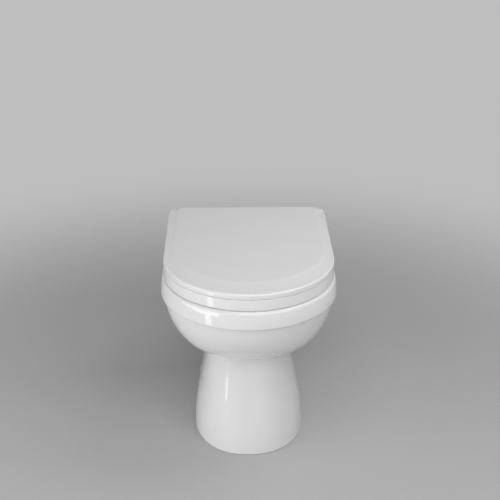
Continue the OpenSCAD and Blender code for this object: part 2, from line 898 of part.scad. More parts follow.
// Places of the four seat buffers: two round the front and two at the back
module at_seat_buffers() {
    mirror_pair() {
        translate([buffer_r * sin(45), -front_c - buffer_r * cos(45), 0]) children();
        translate([buffer_r, -seat_buffer_back, 0]) children();
    }
}

module seat_ring() {
    plate_z = seat_top_z - seat_wall;
    boss_low = rim_z + buffer_gap + buffer_h;
    boss_r = 8;
    lap = 1;
    color(resin) {
        place() difference() {
            intersection() {
                d_sweep(seat_back) {
                    edge_section(seat_r, seat_low_z, seat_top_z, seat_low_r, seat_edge_r, seat_lean);
                }
                translate([0, 0, seat_low_z - eps]) linear_extrude(seat_top_z) {
                    d_plan(seat_r + eps, seat_back, seat_corner_r);
                }
            }
            stadium_sweep(seat_hole_back) {
                mouth_section(seat_hole_r, seat_low_z - eps, seat_top_z, seat_hole_edge_r);
            }
            translate([0, 0, seat_low_z - eps]) linear_extrude(plate_z - seat_low_z + eps) {
                difference() {
                    d_plan(seat_r - seat_wall, seat_back + seat_wall,
                        seat_corner_r - seat_wall);
                    stadium_plan(seat_hole_r + seat_wall, seat_hole_back);
                }
            }
        }
        place() at_seat_buffers() translate([0, 0, boss_low]) {
            cylinder(r = boss_r, h = plate_z - boss_low + lap);
        }
        hinge_axis() difference() {
            union() {
                along_x(barrel_r, -barrel_end, barrel_end);
                translate([-seat_arm_w, hinge_back - seat_back - lap, -seat_arm_low]) {
                    cube([2 * seat_arm_w, seat_back - hinge_back, seat_arm_low + seat_arm_high]);
                }
            }
            along_x(damper_r + fit, -barrel_end - eps, damper_len + 1 - barrel_end);
            along_x(pin_r + fit, barrel_end - pin_grip - 1, barrel_end + eps);
        }
    }
}

module seat_buffers() {
    color(clear_rubber) place() at_seat_buffers() translate([0, 0, rim_z + buffer_gap]) {
        rotate_extrude() {
            square([buffer_foot_r - buffer_edge_r, buffer_h]);
            translate([0, buffer_edge_r]) square([buffer_foot_r, buffer_h - buffer_edge_r]);
            translate([buffer_foot_r - buffer_edge_r, buffer_edge_r]) circle(buffer_edge_r);
        }
    }
}

// A soft-close cartridge: a barrel from its mouth to its end, and a spindle out to a tip
module damper(mouth, end, tip) {
    middle = (mouth + end) / 2;
    color(dark_rubber) hinge_axis() {
        along_x(damper_r, min(mouth, end), max(mouth, end));
        along_x(pin_r, min(tip, middle), max(tip, middle));
    }
}

module seat_damper() { damper(-barrel_end + 0.5, damper_len - barrel_end, -pin_inner); }
module lid_damper() { damper(ear_start + 0.5, ear_start + damper_len, pin_outer); }

module seat_pin() {
    color(steel) hinge_axis() along_x(pin_r, barrel_end - pin_grip, pin_inner);
}

module lid_pin() {
    color(steel) hinge_axis() along_x(pin_r, -ear_start - pin_grip, -pin_outer);
}

// ---------- lid ----------

module lid_ear(bore_r, bore_depth) {
    difference() {
        union() {
            along_x(barrel_r, ear_start, ear_end);
            translate([ear_start, -8, 0]) {
                cube([ear_end - ear_start, 16, lid_plate_z - hinge_z + 1]);
            }
        }
        along_x(bore_r + fit, ear_start - eps, ear_start + bore_depth);
    }
}

module lid() {
    notch_start = barrel_end;
    color(resin) {
        place() difference() {
            union() {
                intersection() {
                    d_sweep(lid_back) {
                        edge_section(seat_r, lid_low_z, lid_edge_z, lid_low_r, lid_edge_r, 0);
                    }
                    translate([0, 0, lid_low_z - eps]) linear_extrude(lid_top_z) {
                        d_plan(seat_r + eps, lid_back, lid_corner_r);
                    }
                }
                // the flat panel, with a sloped margin that widens towards the front
                hull() {
                    translate([0, 0, lid_edge_z - 0.2]) linear_extrude(0.2) {
                        d_plan(seat_r - lid_edge_r, lid_back + 1, lid_corner_r - 2);
                    }
                    translate([0, front_c - panel_c, lid_top_z - 0.2]) linear_extrude(0.2) {
                        d_plan(panel_r, lid_back + 3 + front_c - panel_c, lid_corner_r - 12);
                    }
                }
            }
            translate([0, 0, lid_low_z - eps]) linear_extrude(lid_plate_z - lid_low_z + eps) {
                d_plan(seat_r - lid_wall, lid_back + lid_wall, lid_corner_r - lid_wall);
            }
            // room for the hinge blocks when the lid is up
            mirror_pair() translate([notch_start, -lid_back - lid_wall - eps, lid_low_z - eps]) {
                cube([ear_start - notch_start, lid_wall + 2 * eps,
                    lid_plate_z - lid_low_z + eps]);
            }
        }
        hinge_axis() {
            lid_ear(damper_r, damper_len + 1);
            mirror([1, 0, 0]) lid_ear(pin_r, pin_grip + 1);
        }
    }
}

module lid_buffers() {
    color(clear_rubber) place() mirror_pair() {
        for (p = [[95, 440], [buffer_r, seat_buffer_back]]) {
            translate([p[0], -p[1], seat_top_z + buffer_gap]) rotate_extrude() {
                square([4, lid_plate_z - seat_top_z - buffer_gap]);
                translate([0, 1]) square([5, lid_plate_z - seat_top_z - buffer_gap - 1]);
                translate([4, 1]) circle(1);
            }
        }
    }
}

pan_shroud();
pan_rim();
pan_basin();
pan_trapway();
pan_inlet();
inlet_seal();
post_gaskets();
hinge_post_left();
hinge_post_right();
seat_bolts();
cone_washers();
steel_washers();
wing_nuts();
floor_bracket_left();
floor_bracket_right();
screw_cups();
side_screws();
side_caps();
hinge_block_left();
hinge_block_right();
button_springs();
release_button_left();
release_button_right();
seat_ring();
seat_buffers();
seat_damper();
seat_pin();
lid();
lid_buffers();
lid_damper();
lid_pin();
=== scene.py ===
import math

import bmesh
import bpy
from bpy.props import FloatProperty, FloatVectorProperty, IntProperty, PointerProperty
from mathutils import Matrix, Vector


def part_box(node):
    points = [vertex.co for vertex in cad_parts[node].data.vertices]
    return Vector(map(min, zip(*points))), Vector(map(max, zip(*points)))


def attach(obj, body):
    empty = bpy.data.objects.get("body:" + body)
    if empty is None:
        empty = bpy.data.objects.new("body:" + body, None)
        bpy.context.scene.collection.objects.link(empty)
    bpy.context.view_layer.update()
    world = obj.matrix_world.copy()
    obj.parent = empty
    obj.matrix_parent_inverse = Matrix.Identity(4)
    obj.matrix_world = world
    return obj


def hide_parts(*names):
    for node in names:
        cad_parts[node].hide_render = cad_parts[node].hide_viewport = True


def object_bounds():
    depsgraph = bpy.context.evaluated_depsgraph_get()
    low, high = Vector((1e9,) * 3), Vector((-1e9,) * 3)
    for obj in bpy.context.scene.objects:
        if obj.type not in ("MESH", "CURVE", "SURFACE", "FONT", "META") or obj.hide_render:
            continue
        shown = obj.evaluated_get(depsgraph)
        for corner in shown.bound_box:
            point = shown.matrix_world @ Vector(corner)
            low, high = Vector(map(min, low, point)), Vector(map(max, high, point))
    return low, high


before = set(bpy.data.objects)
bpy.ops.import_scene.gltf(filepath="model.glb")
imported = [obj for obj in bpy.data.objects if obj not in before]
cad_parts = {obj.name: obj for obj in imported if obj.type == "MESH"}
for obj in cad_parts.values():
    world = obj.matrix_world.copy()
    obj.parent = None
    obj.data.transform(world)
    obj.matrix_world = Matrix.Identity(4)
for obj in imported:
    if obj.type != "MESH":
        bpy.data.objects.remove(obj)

bl_info = {
    "name": "Back to wall toilet",
    "version": (1, 0, 0),
    "blender": (4, 5, 0),
    "location": "3D View > Sidebar > Toilet",
    "description": "Builds the finish of a back to wall toilet round its packed parts",
    "category": "Object",
}

MM = 0.001                          # in metres, and the overlap of solids that are combined
CAD_LOW, CAD_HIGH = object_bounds()
WALL_Y = CAD_HIGH.y                       # plane of the wall behind the pan
RIM_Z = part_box("pan_rim")[1].z            # top of the rim
BAND_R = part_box("pan_rim")[1].x           # half width of the rim, and radius of its front
STEP_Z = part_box("pan_shroud")[1].z        # step under the rim band, where the bowl starts
PAN_DEPTH = CAD_HIGH.y - CAD_LOW.y
FRONT_C = PAN_DEPTH - BAND_R              # centre of the round front, from the wall
SEAT_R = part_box("lid")[1].x               # half width of the seat and the lid
SEAT_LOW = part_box("seat_ring")[0].z       # underside of the seat
LID_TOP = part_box("lid")[1].z              # top of the lid's flat panel
SIDE_END = 246 * MM                       # end of the pedestal's side walls, from the wall
SUMP_C = 285 * MM                         # middle of the sump, from the wall
THROAT_Z = 262 * MM                       # height at which the basin meets its throat
BARREL_END = 59 * MM                      # half length of the seat's hinge barrel
DAMPER_BORE, PIN_BORE = 8.05 * MM, 4.05 * MM      # radii of the bores in the hinge
TWO_SIDES = (-1, 1)

# [half width, front, middle, back, squareness] of the basin's inside, from the wall
MOUTH_PLAN = [150 * MM, 462 * MM, 300 * MM, 140 * MM, 2]
THROAT_PLAN = [65 * MM, 340 * MM, SUMP_C, 222 * MM, 2]


def srgb(code):
    """Linear colour of an sRGB hex code such as 'E6E6E4'."""
    parts = [int(code[i:i + 2], 16) / 255 for i in (0, 2, 4)]
    linear = [c / 12.92 if c <= 0.04045 else ((c + 0.055) / 1.055) ** 2.4 for c in parts]
    return (*linear, 1.0)


def per_mm(size):
    """Texture scale at which one feature is that many millimetres across."""
    return 1 / (size * MM)


def length(name, description, default):
    """A size in metres that the sidebar shows."""
    return FloatProperty(name=name, description=description, default=default, unit="LENGTH")


def colour(name, description, code):
    """A colour that the sidebar shows, from its sRGB hex code."""
    return FloatVectorProperty(name=name, description=description, subtype="COLOR", size=4,
                               default=srgb(code))


# ---------------------------------------------------------------- sizes and colours


class PanSizes(bpy.types.PropertyGroup):
    """Sizes of the china pan. Distances called front and back are from the wall."""

    skin: length("Skin", "Thickness of the outer china", 11 * MM)
    basin_wall: length("Basin wall", "Thickness of the basin", 9 * MM)
    bowl_half: length("Bowl half width", "Under the rim's step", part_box("pan_shroud")[1].x)
    bowl_front: length("Bowl front", "Under the rim's step", WALL_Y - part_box("pan_shroud")[0].y)
    bowl_power: FloatProperty(name="Bowl power", description="Squareness of its side curve",
                              default=1.8, min=1.7, max=2.0)
    neck_z: length("Neck height", "Where the bowl meets the pedestal", 232 * MM)
    neck_half: length("Neck half width", "Half width of the neck", 90 * MM)
    neck_front: length("Neck front", "Front of the neck", 365 * MM)
    foot_half: length("Foot half width", "Half width of the foot", 123 * MM)
    foot_front: length("Foot front", "Front of the foot", 408.5 * MM)
    foot_taper: length("Foot taper", "How each side draws in behind", 27 * MM)
    foot_edge: length("Foot edge", "Rounding of the foot's edge", 3 * MM)
    cove: length("Cove", "Fillet under the rim's step", 1.2 * MM)
    band_lean: length("Band lean", "How it narrows to its top", 3 * MM)
    band_bulge: length("Band bulge", "How its face swells out", 0.6 * MM)
    band_top: length("Band top edge", "Rounding above the band", 9 * MM)
    band_low: length("Band low edge", "Rounding of the band's step", 4 * MM)
    mouth_r: length("Mouth radius", "Opening of the rim", 133 * MM)
    mouth_back: length("Mouth back", "Centre of its round back", 285 * MM)
    mouth_edge: length("Mouth edge", "Rounding of the opening", 8 * MM)
    flush_holes: IntProperty(name="Flush holes", description="Holes under the rim",
                             default=30, min=20, max=36)


class SeatSizes(bpy.types.PropertyGroup):
    """Sizes of the seat and lid. Distances called back are from the wall."""

    seat_top: length("Seat top", "Height of the seat's top", 425 * MM)
    seat_back: length("Seat back", "Back edge of the seat", 84 * MM)
    seat_lean: length("Seat lean", "How it narrows to its top", 1 * MM)
    seat_bulge: length("Seat bulge", "How its side swells out", 0.24 * MM)
    seat_edge: length("Seat edge", "Rounding of its upper edge", 3 * MM)
    seat_low_edge: length("Seat low edge", "Of its lower edge", 1 * MM)
    seat_arm: length("Seat arm", "Half width, from seat to hinge", 40 * MM)
    hole_r: length("Hole radius", "Opening of the seat", 110 * MM)
    hole_back: length("Hole back", "Centre of its round back", 236 * MM)
    hole_edge: length("Hole edge", "Rounding of the opening", 10 * MM)
    seat_wall: length("Seat wall", "Thickness of the seat's shell", 6 * MM)
    lid_wall: length("Lid wall", "Thickness of the lid's flange", 5 * MM)
    lid_edge: length("Lid edge", "Rounding of the lid's upper edge", 4 * MM)
    lid_slope: length("Lid slope", "Fall from panel to margin", 2.5 * MM)
    lid_corner: length("Lid corner", "Radius of the back corners", 26 * MM)
    panel_r: length("Panel half width", "Half width of the flat panel", 158 * MM)
    panel_c: length("Panel centre", "Centre of its round front", 281 * MM)
    hinge_back: length("Hinge axis", "From the wall to the axis", 60 * MM)
    hinge_z: length("Hinge height", "Height of the hinge axis", 419 * MM)
    barrel_r: length("Barrel radius", "Radius of the hinge barrels", 11.5 * MM)


class Finishes(bpy.types.PropertyGroup):
    """Colours of the finishes."""

    glaze: colour("Glaze", "White glaze", "E7E7E7")
    bisque: colour("Bisque", "Bare fired china", "D9D4C8")
    resin: colour("Resin", "White thermoset resin", "E8E8E8")
    floor: colour("Floor", "Pale studio floor", "BCBCBC")
    backdrop: colour("Backdrop", "Pale studio backdrop", "BEBEBE")


# ---------------------------------------------------------------- finishes


def add(tree, kind, inputs=(), **settings):
    """Adds a node with its settings, and sets or links its inputs."""
    node = tree.nodes.new(kind)
    for name, value in settings.items():
        setattr(node, name, value)
    for socket, value in dict(inputs).items():
        if isinstance(value, bpy.types.NodeSocket):
            tree.links.new(value, node.inputs[socket])
        else:
            node.inputs[socket].default_value = value
    return node


def surface(name, **values):
    """A material whose shader has these values."""
    material = bpy.data.materials.new(name)
    material.use_nodes = True
    shader = material.node_tree.nodes["Principled BSDF"]
    for socket, value in values.items():
        shader.inputs[socket.replace("_", " ")].default_value = value
    return material


def shade(tone, share):
    """A colour darkened to that share of itself."""
    return (*(c * share for c in tone[:3]), 1.0)


def mottle(material, light, dark, size, detail):
    """Lets the colour drift between two tones, in patches that many mm across."""
    tree = material.node_tree
    place = add(tree, "ShaderNodeTexCoord").outputs["Object"]
    patches = add(tree, "ShaderNodeTexNoise", {"Vector": place, "Scale": per_mm(size),
                                               "Detail": detail})
    tint = add(tree, "ShaderNodeMix", {"Factor": patches.outputs["Fac"],
                                       6: dark, 7: light}, data_type="RGBA")
    tree.links.new(tint.outputs[2], tree.nodes["Principled BSDF"].inputs["Base Color"])


def haze(material, low, high, size, detail):
    """Lets the roughness run from low to high, in patches that many mm across."""
    tree = material.node_tree
    place = add(tree, "ShaderNodeTexCoord").outputs["Object"]
    patches = add(tree, "ShaderNodeTexNoise", {"Vector": place, "Scale": per_mm(size),
                                               "Detail": detail})
    rough = add(tree, "ShaderNodeMapRange", {"Value": patches.outputs["Fac"],
                                             "To Min": low, "To Max": high})
    tree.links.new(rough.outputs["Result"], tree.nodes["Principled BSDF"].inputs["Roughness"])


def relief(material, depth, strength, size, detail):
    """Raises bumps that many mm deep and across, on top of those that are there."""
    tree = material.node_tree
    normal = tree.nodes["Principled BSDF"].inputs["Normal"]
    below = {"Normal": link.from_socket for link in normal.links}
    place = add(tree, "ShaderNodeTexCoord").outputs["Object"]
    bumps = add(tree, "ShaderNodeTexNoise", {"Vector": place, "Scale": per_mm(size),
                                             "Detail": detail})
    raised = add(tree, "ShaderNodeBump", {"Height": bumps.outputs["Fac"], **below,
                                          "Strength": strength, "Distance": depth * MM})
    tree.links.new(raised.outputs["Normal"], normal)


def glazed_vitreous_china():
    """Sprayed white glaze over vitreous china: a glassy coat that pooled a little in
    firing, so reflections waver every few centimetres over a faint orange peel, and the
    white drifts very slightly."""
    glaze = bpy.context.scene.toilet_finish.glaze
    china = surface("glazed_vitreous_china", Roughness=0.06, IOR=1.5)
    mottle(china, tuple(glaze), shade(glaze, 0.965), size=60, detail=2.0)
    relief(china, depth=0.35, strength=0.5, size=28, detail=1.0)
    relief(china, depth=0.02, strength=0.18, size=2.2, detail=2.0)
    return china


def bare_vitreous_china():
    """Fired china without glaze, as on the inside of the casting: matt, off-white, with
    kiln marks a few centimetres across. Its grit is drawn coarse enough to show."""
    bisque = bpy.context.scene.toilet_finish.bisque
    china = surface("bare_vitreous_china", Roughness=0.72, IOR=1.5)
    mottle(china, tuple(bisque), shade(bisque, 0.86), size=35, detail=4.0)
    relief(china, depth=0.15, strength=0.4, size=1.2, detail=3.0)
    return china


def pressed_urea_resin():
    """Urea resin pressed in a polished mould: white through and through, glossy but
    softer than glaze, with a faint ripple from shrinkage and very fine wiping marks."""
    white = bpy.context.scene.toilet_finish.resin
    resin = surface("pressed_urea_resin", IOR=1.5)
    mottle(resin, tuple(white), shade(white, 0.975), size=90, detail=1.0)
    haze(resin, 0.08, 0.12, size=6, detail=5.0)
    relief(resin, depth=0.2, strength=0.4, size=40, detail=1.0)
    return resin


def chrome_plate():
    """Chromium over die-cast zinc: a cool mirror with a soft, slightly wavy surface."""
    chrome = surface("chrome_plate", Metallic=1.0, Base_Color=srgb("C9CBCE"))
    haze(chrome, 0.07, 0.14, size=9, detail=2.0)
    relief(chrome, depth=0.05, strength=0.3, size=9, detail=2.0)
    return chrome


def zinc_plated_steel():
    """Bright zinc plated on steel: grey and semi-matt, with small crystals that are
    drawn coarse enough to show, and a fine haze from handling."""
    steel = surface("zinc_plated_steel", Metallic=1.0)
    tree = steel.node_tree
    place = add(tree, "ShaderNodeTexCoord").outputs["Object"]
    spangle = add(tree, "ShaderNodeTexVoronoi", {"Vector": place, "Scale": per_mm(1.6)})
    tint = add(tree, "ShaderNodeMix", {"Factor": spangle.outputs["Distance"],
                                       6: srgb("B4B7BA"), 7: srgb("9A9EA2")},
               data_type="RGBA")
    tree.links.new(tint.outputs[2], tree.nodes["Principled BSDF"].inputs["Base Color"])
    haze(steel, 0.28, 0.42, size=0.8, detail=3.0)
    return steel


def moulded(name, light, dark, rough, grain, depth):
    """A moulded plastic or rubber: two near tones, and the grain that the mould gave it,
    that many mm wide and deep. The grain is drawn coarse enough to show."""
    material = surface(name, Roughness=rough, IOR=1.5)
    mottle(material, srgb(light), srgb(dark), size=12, detail=2.0)
    relief(material, depth, strength=0.5, size=grain, detail=2.0)
    return material


def moulded_nylon():
    """Injection moulded nylon: milky white, satin, with a fine spark-eroded grain."""
    return moulded("moulded_nylon", "DEDDD7", "D2D1CA", rough=0.48, grain=0.7, depth=0.03)


def moulded_epdm():
    """Black EPDM rubber: matt and slightly dusty."""
    return moulded("moulded_epdm", "2E2E30", "232325", rough=0.66, grain=0.9, depth=0.05)


def soft_elastomer():
    """Pale soft elastomer of the buffers: waxy and milky."""
    return moulded("soft_elastomer", "D3D2CB", "C6C5BE", rough=0.4, grain=1.5, depth=0.03)


def moulded_acetal():
    """Black acetal of the soft-close cartridges: dense, with a low sheen."""
    return moulded("moulded_acetal", "2A2B2D", "1F2022", rough=0.34, grain=1.1, depth=0.02)


def finish_of(maker):
    """The material that a maker function makes, made once."""
    return bpy.data.materials.get(maker.__name__) or maker()


def dress(maker, *nodes):
    """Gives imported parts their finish."""
    for node in nodes:
        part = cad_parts[node]
        part.data.materials.clear()
        part.data.materials.append(finish_of(maker))


# ---------------------------------------------------------------- mesh helpers


def at(x, from_wall, z):
    """A point by its distance from the wall."""
    return Vector((x, WALL_Y - from_wall, z))


def mesh_object(name, points, faces):
    """A new object with these points and faces."""
    mesh = bpy.data.meshes.new(name)
    mesh.from_pydata(points, [], faces)
    mesh.validate()
    piece = bpy.data.objects.new(name, mesh)
    bpy.context.scene.collection.objects.link(piece)
    return piece


def point_outwards(piece):
    """Merges a piece's doubled points and turns all its faces outwards."""
    touching = 0.002 * MM
    work = bmesh.new()
    work.from_mesh(piece.data)
    bmesh.ops.remove_doubles(work, verts=work.verts, dist=touching)
    bmesh.ops.recalc_face_normals(work, faces=work.faces)
    work.to_mesh(piece.data)
    work.free()
    return piece


def joined(rings, again=False):
    """Points of closed rings with the same number of points, and the faces between each
    ring and the next, or from the last ring to the first again."""
    count, total = len(rings[0]), len(rings[0]) * len(rings)
    faces = []
    for k in range(len(rings) if again else len(rings) - 1):
        for i in range(count):
            a, b = k * count + i, k * count + (i + 1) % count
            faces.append((a, b, (b + count) % total, (a + count) % total))
    return [p for ring in rings for p in ring], faces


def loft(name, rings):
    """A closed solid through closed rings, with a flat face at each end."""
    points, faces = joined(rings)
    ends = range(len(rings[0])), range(len(points) - len(rings[0]), len(points))
    faces += [tuple(reversed(ends[0])), tuple(ends[1])]
    return point_outwards(mesh_object(name, points, faces))


def plain_mesh(piece):
    """Applies a piece's modifiers and leaves a plain mesh."""
    bpy.context.view_layer.update()
    graph = bpy.context.evaluated_depsgraph_get()
    mesh = bpy.data.meshes.new_from_object(piece.evaluated_get(graph))
    piece.modifiers.clear()
    piece.data = mesh
    mesh.name = piece.name


def combine(piece, others, how):
    """Cuts the others out of a piece, or joins them to it."""
    for other in others:
        change = piece.modifiers.new(how, "BOOLEAN")
        change.operation = how
        change.solver = "MANIFOLD"
        change.object = other
        plain_mesh(piece)
        bpy.data.objects.remove(other)


def smooth(piece, crease):
    """Shades a piece smooth, except over edges sharper than crease degrees."""
    for face in piece.data.polygons:
        face.use_smooth = True
    piece.data.set_sharp_from_angle(angle=math.radians(crease))
    even = piece.modifiers.new("even shading", "WEIGHTED_NORMAL")
    even.keep_sharp = True
    even.weight = 60
    plain_mesh(piece)


def settle(piece, body, nodes, slot, *makers):
    """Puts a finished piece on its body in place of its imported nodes."""
    piece.data.materials.clear()
    for maker in makers:
        piece.data.materials.append(finish_of(maker))
    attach(piece, body)
    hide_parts(*nodes)


def arc(start, end, steps):
    """Angles in radians from start to end degrees."""
    return [math.radians(start + (end - start) * i / steps) for i in range(steps + 1)]


def d_ring(half, centre, back, corner, z, steps=128):
    """Plan of the seat or the rim: a round front about that centre, straight sides and a
    back edge whose corners have that radius."""
    ring = [at(half * math.cos(a), centre - half * math.sin(a), z)
            for a in arc(180, 360, steps)]
    spans = 8
    end = back + corner
    ring += [at(half, centre + (end - centre) * i / spans, z) for i in range(1, spans)]
    corners = arc(0, 90, 14) if corner > 0 else [0.0]
    right = [(half - corner + corner * math.cos(a), end - corner * math.sin(a))
             for a in corners]
    ring += [at(x, y, z) for x, y in right]
    ring += [at(-x, y, z) for x, y in reversed(right)]
    ring += [at(-half, end + (centre - end) * i / spans, z) for i in range(1, spans)]
    return ring


def stadium_ring(half, back_c, z, steps=96):
    """Plan of an opening with a round front and a round back."""
    front = [at(half * math.cos(a), FRONT_C - half * math.sin(a), z)
             for a in arc(180, 360, steps)]
    back = [at(half * math.cos(a), back_c - half * math.sin(a), z)
            for a in arc(0, 180, steps)]
    return front + back


def rounded_stack(low, high, low_r, high_r, lean=0.0, bulge=0.0, steps=10):
    """(height, inset) from low to high, with rounded lower and upper edges and between
    them a face that leans in and swells out by that much."""
    run, rise = low_r - high_r - lean, high - high_r - low - low_r
    tilt = math.degrees(math.atan2(rise, run)
                        - math.acos((low_r - high_r) / math.hypot(run, rise)))
    below = [(low + low_r * (1 + math.sin(a)), low_r * (1 - math.cos(a)))
             for a in arc(-90, tilt, steps)]
    above = [(high - high_r * (1 - math.sin(a)), lean + high_r * (1 - math.cos(a)))
             for a in arc(tilt, 90, steps)]
    (foot_z, foot_in), (head_z, head_in) = below[-1], above[0]
    spans = 6
    face = [(foot_z + (head_z - foot_z) * t,
             foot_in + (head_in - foot_in) * t - 4 * bulge * t * (1 - t))
            for t in (i / spans for i in range(1, spans))]
    return below + face + above


def flared_hole(name, half, back_c, low, high, edge):
    """Solid of an opening whose upper edge is rounded outwards."""
    rings = [stadium_ring(half, back_c, low - MM)]
    rings += [stadium_ring(half + edge * (1 - math.cos(a)), back_c,
                           high - edge * (1 - math.sin(a))) for a in arc(0, 90, 10)]
    rings.append(stadium_ring(half + edge, back_c, high + MM))
    return loft(name, rings)


def rod(name, radius, start, end, steps=64):
    """A round bar between two points."""
    along = (end - start).normalized()
    turn = along.to_track_quat("Z", "Y").to_matrix()
    rings = [[p + turn @ Vector((radius * math.cos(a), radius * math.sin(a), 0))
              for a in arc(0, 360, steps)[:-1]] for p in (start, end)]
    return loft(name, rings)


def block(name, low, high):
    """A square bar between two corners."""
    (x0, y0, z0), (x1, y1, z1) = low, high
    rings = [[Vector((x0, y0, z)), Vector((x1, y0, z)), Vector((x1, y1, z)),
              Vector((x0, y1, z))] for z in (z0, z1)]
    return loft(name, rings)


# ---------------------------------------------------------------- china


def mix(a, b, share):
    """Blends two lists of numbers."""
    return [p + (q - p) * share for p, q in zip(a, b)]


def signed_power(value, power):
    """The power of a number's size, with the number's sign."""
    return math.copysign(abs(value) ** power, value)


def blend_levels(low, high, plan, turn, steps):
    """(level, slope) pairs of a soft bend from the level low, which is upright, to the
    level high, which slopes by turn degrees. They meet just below high, in that plan."""
    corner = [high[0] - 2 * MM, *plan]
    return [(mix(mix(low, corner, t), mix(corner, high, t), t), turn * t)
            for t in (i / steps for i in range(steps + 1))]


def neck_plan(pan):
    """[half width, front, end of sides, squareness, taper] of the pedestal's neck."""
    squareness, taper = 2.65, 6 * MM
    return [pan.neck_half, pan.neck_front, SIDE_END, squareness, taper]


def bowl_level(pan, turn):
    """The height and the same list for the outer bowl, from the step at 0 degrees down to
    the neck at 90."""
    a = math.radians(turn)
    drop = math.sin(a) ** (2 / pan.bowl_power)
    out = math.cos(a) ** (2 / pan.bowl_power)
    return [STEP_Z + (pan.neck_z - STEP_Z) * drop,
            *mix(neck_plan(pan), [pan.bowl_half, pan.bowl_front, FRONT_C, 2, 0], out)]


def foot_level(pan, z):
    """The same list for the pedestal at height z, which flares towards the floor."""
    hug, squareness = 1.85, 2.3
    flare = (1 - (z / pan.neck_z) ** hug) ** 2
    foot = [pan.foot_half, pan.foot_front, SIDE_END, squareness, pan.foot_taper]
    return [z, *mix(neck_plan(pan), foot, flare)]


def skin_ring(level, skin, slope, round_off, sides=12, fronts=112):
    """One ring of the outer casting: the outside from the back left round the front, and
    the inside on the way back."""
    lean, taper_power = math.radians(slope), 1.5
    z, half, front, side, power, taper = level
    both = []
    for inset, height in ((round_off, z),
                          (skin * math.cos(lean) - round_off, z + skin * math.sin(lean))):
        w, f, bend = half - inset, front - inset, 2 / power
        left = [(-w + taper * (1 - i / sides) ** taper_power, side * i / sides)
                for i in range(sides)]
        nose = [(w * signed_power(math.sin(a), bend),
                 side + (f - side) * abs(math.cos(a)) ** bend)
                for a in arc(-90, 90, fronts)]
        right = [(-x, y) for x, y in reversed(left)]
        both.append([at(x, y, height) for x, y in left + nose + right])
    return both[0] + both[1][::-1]


def pedestal_and_bowl(pan):
    """The outer casting from the foot to the rim's step, open behind and below."""
    foot_steps, rise_steps, bend_steps, swell_steps = 5, 34, 14, 44
    fillet_z, fillet_turn = pan.neck_z - 17 * MM, 77       # where the bend starts and ends
    levels = []
    for a in arc(0, 90, foot_steps):
        z = pan.foot_edge * (1 - math.cos(a))
        levels.append((foot_level(pan, z), 0, pan.foot_edge * (1 - math.sin(a))))
    for i in range(1, rise_steps):
        z = pan.foot_edge + (fillet_z - pan.foot_edge) * i / rise_steps
        levels.append((foot_level(pan, z), 0, 0))
    bend = blend_levels(foot_level(pan, fillet_z), bowl_level(pan, fillet_turn),
                        neck_plan(pan), fillet_turn, bend_steps)
    levels += [(level, slope, 0) for level, slope in bend]
    for i in range(1, swell_steps + 1):
        turn = fillet_turn * (1 - i / swell_steps)
        level = bowl_level(pan, turn)
        under = max(0.0, level[0] - (STEP_Z - pan.cove))
        cove = pan.cove - math.sqrt(max(0.0, pan.cove ** 2 - under ** 2))
        levels.append((level, turn, -cove))
    return skin_loft("pan_pedestal", [skin_ring(level, pan.skin, slope, round_off)
                                      for level, slope, round_off in levels])


def skin_loft(name, rings):
    """A loft whose ends are closed by a strip between outside and inside."""
    points, faces = joined(rings)
    count = len(rings[0])
    for base in (0, len(points) - count):
        for i in range(count // 2 - 1):
            faces.append((base + i, base + i + 1,
                          base + count - 2 - i, base + count - 1 - i))
    return point_outwards(mesh_object(name, points, faces))


def leave_bare(piece, unglazed):
    """Gives the second finish to the faces for which unglazed(face) is true."""
    for face in piece.data.polygons:
        if unglazed(face):
            face.material_index = 1


def looks_out(face, from_wall, square_behind=False):
    """How far a face looks away from an upright line that far from the wall: 1 is straight
    away and -1 straight towards it. Behind the line, only its sideways part may count."""
    level = face.center - at(0, from_wall, 0)
    level.z = 0
    if square_behind and level.y > 0:
        level.y = 0
    return face.normal.dot(level.normalized())


class TOILET_OT_pedestal(bpy.types.Operator):
    """Outer casting of the pan, from the foot to the rim's step"""

    bl_idname = "toilet.pedestal"
    bl_label = "Pedestal and bowl"

    def execute(self, context):
        pan = context.scene.toilet_pan
        piece = pedestal_and_bowl(pan)
        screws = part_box("side_screws")
        height = (screws[0].z + screws[1].z) / 2
        depth = (screws[0].y + screws[1].y) / 2
        hole_r, reach = 6 * MM, pan.foot_half
        hole = rod("hole", hole_r, Vector((-reach, depth, height)),
                   Vector((reach, depth, height)))
        combine(piece, [hole], "DIFFERENCE")
        smooth(piece, 50)
        settle(piece, "pan", ["pan_shroud"], "china", glazed_vitreous_china,
               bare_vitreous_china)
        inwards, downwards = -0.05, -0.98
        leave_bare(piece, lambda face: face.normal.z < downwards
                   or looks_out(face, SIDE_END, square_behind=True) < inwards)
        return {"FINISHED"}


def open_tree(name, inputs):
    """A geometry tree with these named inputs, given as {name: kind}, and their sockets."""
    tree = bpy.data.node_groups.new(name, "GeometryNodeTree")
    tree.interface.new_socket("Geometry", in_out="OUTPUT",
                              socket_type="NodeSocketGeometry")
    for label, kind in inputs.items():
        tree.interface.new_socket(label, in_out="INPUT", socket_type="NodeSocket" + kind)
    return tree, add(tree, "NodeGroupInput").outputs


def close_tree(tree, geometry, material):
    """Ends a tree with its instances made real and painted."""
    real = add(tree, "GeometryNodeRealizeInstances", {"Geometry": geometry})
    painted = add(tree, "GeometryNodeSetMaterial", {"Geometry": real.outputs[0],
                                                    "Material": material})
    add(tree, "NodeGroupOutput", {"Geometry": painted.outputs[0]})
    return tree


